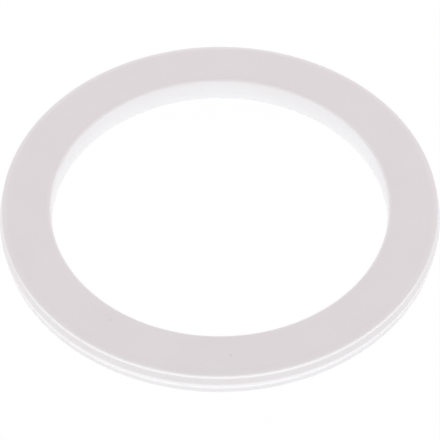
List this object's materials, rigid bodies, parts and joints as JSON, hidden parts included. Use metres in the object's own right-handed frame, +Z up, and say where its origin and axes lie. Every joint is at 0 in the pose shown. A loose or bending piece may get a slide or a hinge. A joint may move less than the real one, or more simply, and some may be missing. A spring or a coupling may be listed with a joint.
{
  "type": "camlock gasket",
  "caption": "Flat moulded white rubber ring gasket with a ribbed rim, for sealing the joint face of a cam and groove hose coupling.",
  "frame": {"origin": "centre of the ring's underside, on its axis, where it rests", "axes": "+Z up along the ring's axis, out of its upper sealing face; X and Y lie in the underside and are equal by symmetry"},
  "size_m": [0.0794, 0.0794, 0.0055],
  "materials": {
    "white_rubber": "matte, smooth as moulded, slightly warm white"
  },
  "bodies": {
    "root": {"gasket_ring": "white_rubber"}
  },
  "joints": []
}
